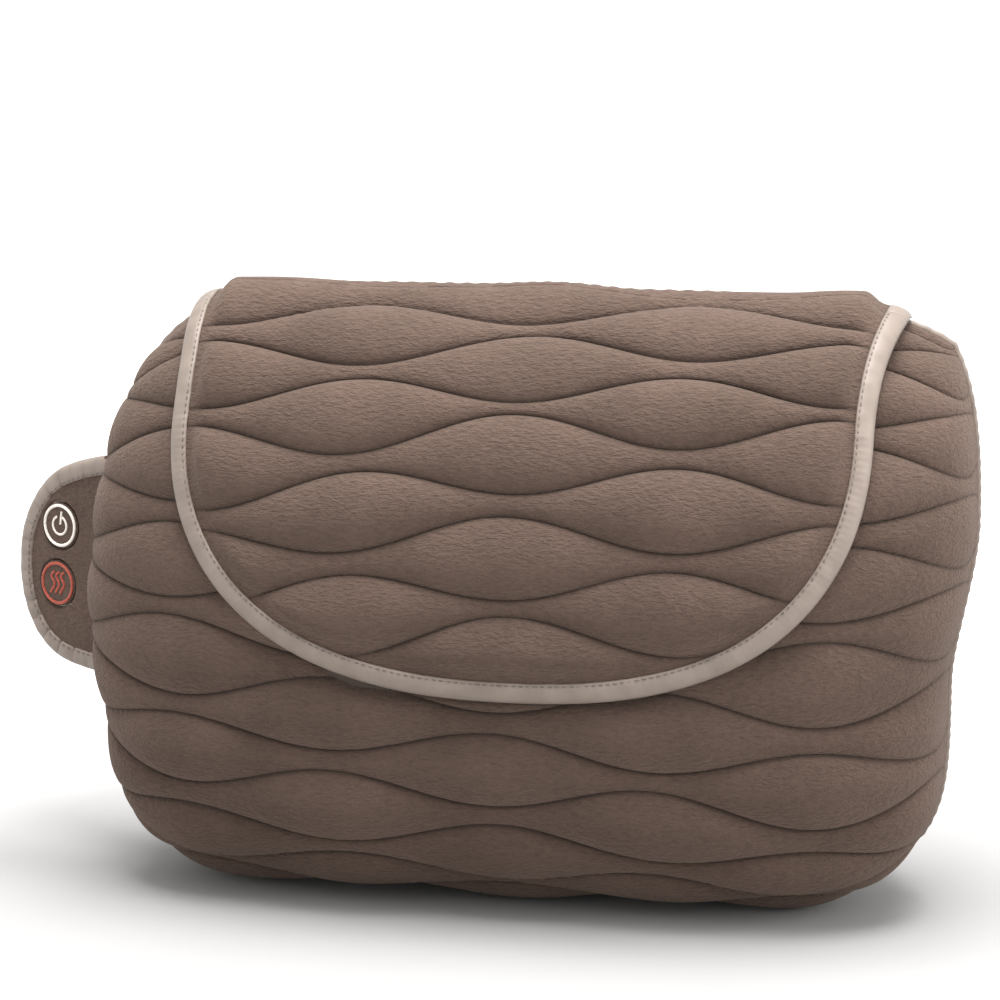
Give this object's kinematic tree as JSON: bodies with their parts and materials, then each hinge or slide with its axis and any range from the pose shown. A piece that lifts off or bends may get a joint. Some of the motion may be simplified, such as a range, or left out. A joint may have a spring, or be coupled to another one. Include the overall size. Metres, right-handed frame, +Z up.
{
  "type": "shiatsu neck massager",
  "caption": "Upright quilted shiatsu massage pillow with a folding front flap, a bound control tab with two touch keys, a zipped back and a geared kneading drive inside.",
  "frame": {"origin": "centre of the flat base that the pillow stands on, below the middle of its depth and width", "axes": "+X across the pillow, to the right seen from the front; -Y out of the quilted front; +Z up"},
  "size_m": [0.4348, 0.1624, 0.264],
  "materials": {
    "fleece": "brushed",
    "plain_cloth": "woven",
    "mesh_knit": "mesh",
    "binding_tape": "satin",
    "lining": "woven",
    "zip_tape": "woven",
    "zip_coil": "nylon",
    "metal_trim": "plated",
    "foam": "open cell",
    "black_plastic": "moulded",
    "cable": "satin",
    "chassis_plastic": "moulded",
    "steel": "plain",
    "sintered_bronze": "sintered",
    "magnet": "sintered",
    "brass_gear": "turned",
    "gear_plastic": "moulded",
    "node_plastic": "moulded",
    "circuit_board": "satin",
    "lamp": "clear red",
    "white_print": "printed",
    "red_print": "printed"
  },
  "bodies": {
    "body": {"front_cover": "fleece", "back_cover": "plain_cloth", "node_screen": "mesh_knit", "edge_binding_left": "binding_tape", "edge_binding_right": "binding_tape", "zipper_tapes": "zip_tape", "zipper_coils": "zip_coil", "front_foam": "foam", "rear_foam": "foam", "jack_grommet": "black_plastic", "jack_socket": "black_plastic", "jack_lead": "cable", "chassis_front": "chassis_plastic", "chassis_rear": "chassis_plastic", "housing_screws": "steel", "bushes": "sintered_bronze", "motor_can": "steel", "motor_magnets": "magnet", "motor_end_cap": "black_plastic", "motor_bracket": "steel", "vibration_motor": "steel", "vibration_clamp": "chassis_plastic", "control_board": "circuit_board", "board_components": "black_plastic", "heat_lamps": "lamp", "tab_cable": "cable"},
    "flap_top": {"flap_top_panel": "fleece", "flap_top_lining": "lining", "flap_top_binding": "binding_tape"},
    "flap_front": {"flap_front_panel": "fleece", "flap_front_lining": "lining", "flap_front_binding": "binding_tape"},
    "tab": {"tab_front_fabric": "fleece", "tab_back_fabric": "fleece", "tab_binding": "binding_tape", "tab_padding": "foam", "tab_board": "circuit_board", "tab_switches": "black_plastic"},
    "power_key": {"power_button": "fleece", "power_mark": "white_print"},
    "heat_key": {"heat_button": "fleece", "heat_mark": "red_print"},
    "slider": {"zipper_slider": "metal_trim"},
    "pull": {"zipper_pull": "metal_trim"},
    "left_head": {"left_shaft": "steel", "left_worm_wheel": "gear_plastic", "left_arm": "chassis_plastic", "left_arm_screw": "steel"},
    "right_head": {"right_shaft": "steel", "right_worm_wheel": "gear_plastic", "right_arm": "chassis_plastic", "right_arm_screw": "steel"},
    "left_tall": {"left_tall_node": "node_plastic"},
    "left_short": {"left_short_node": "node_plastic"},
    "right_tall": {"right_tall_node": "node_plastic"},
    "right_short": {"right_short_node": "node_plastic"},
    "rotor": {"motor_armature": "steel", "motor_shaft": "steel", "worm": "brass_gear"},
    "eccentric": {"vibration_weight": "steel"}
  },
  "joints": [
    {"name": "flap_lift", "type": "hinge", "parent": "body", "child": "flap_top", "pos_m": [0, 0.006, 0.264], "axis": [-1, 0, 0], "range_deg": [0, 170]},
    {"name": "flap_fold", "type": "hinge", "parent": "flap_top", "child": "flap_front", "pos_m": [0, -0.06484, 0.24584], "axis": [-1, 0, 0], "range_deg": [0, 170]},
    {"name": "tab_flex", "type": "hinge", "parent": "body", "child": "tab", "pos_m": [-0.19, 0.006, 0.13], "axis": [0, 0, 1], "range_deg": [-20, 60], "stiffness_Nm_per_rad": 0.05},
    {"name": "power_press", "type": "slide", "parent": "tab", "child": "power_key", "axis": [0.4226, 0.9063, 0], "range_m": [0, 0.0006], "stiffness_N_per_m": 300},
    {"name": "heat_press", "type": "slide", "parent": "tab", "child": "heat_key", "axis": [0.4226, 0.9063, 0], "range_m": [0, 0.0006], "stiffness_N_per_m": 300},
    {"name": "zip_slide", "type": "slide", "parent": "body", "child": "slider", "axis": [-1, 0, 0], "range_m": [0, 0.2]},
    {"name": "pull_swing", "type": "hinge", "parent": "slider", "child": "pull", "pos_m": [0.1, 0.0771, 0.062], "axis": [0, 0, -1], "range_deg": [0, 170]},
    {"name": "left_head_spin", "type": "hinge", "parent": "body", "child": "left_head", "pos_m": [-0.046, -0.015, 0.138], "axis": [0, 1, 0], "continuous": true},
    {"name": "right_head_spin", "type": "hinge", "parent": "body", "child": "right_head", "pos_m": [0.046, -0.015, 0.138], "axis": [0, 1, 0], "continuous": true},
    {"name": "motor_spin", "type": "hinge", "parent": "body", "child": "rotor", "pos_m": [0, -0.015, 0.138], "axis": [0, 0, 1], "continuous": true},
    {"name": "left_tall_spin", "type": "hinge", "parent": "left_head", "child": "left_tall", "pos_m": [-0.046, -0.055, 0.162], "axis": [0, 1, 0], "continuous": true},
    {"name": "left_short_spin", "type": "hinge", "parent": "left_head", "child": "left_short", "pos_m": [-0.046, -0.055, 0.114], "axis": [0, 1, 0], "continuous": true},
    {"name": "right_tall_spin", "type": "hinge", "parent": "right_head", "child": "right_tall", "pos_m": [0.046, -0.055, 0.162], "axis": [0, 1, 0], "continuous": true},
    {"name": "right_short_spin", "type": "hinge", "parent": "right_head", "child": "right_short", "pos_m": [0.046, -0.055, 0.114], "axis": [0, 1, 0], "continuous": true},
    {"name": "vibration_spin", "type": "hinge", "parent": "body", "child": "eccentric", "pos_m": [-0.042, -0.012, 0.068], "axis": [1, 0, 0], "continuous": true}
  ],
  "couplings": [
    {"joint": "flap_fold", "follows": "flap_lift", "ratio": 1},
    {"joint": "right_head_spin", "follows": "left_head_spin", "ratio": -1},
    {"joint": "motor_spin", "follows": "left_head_spin", "ratio": 26}
  ]
}
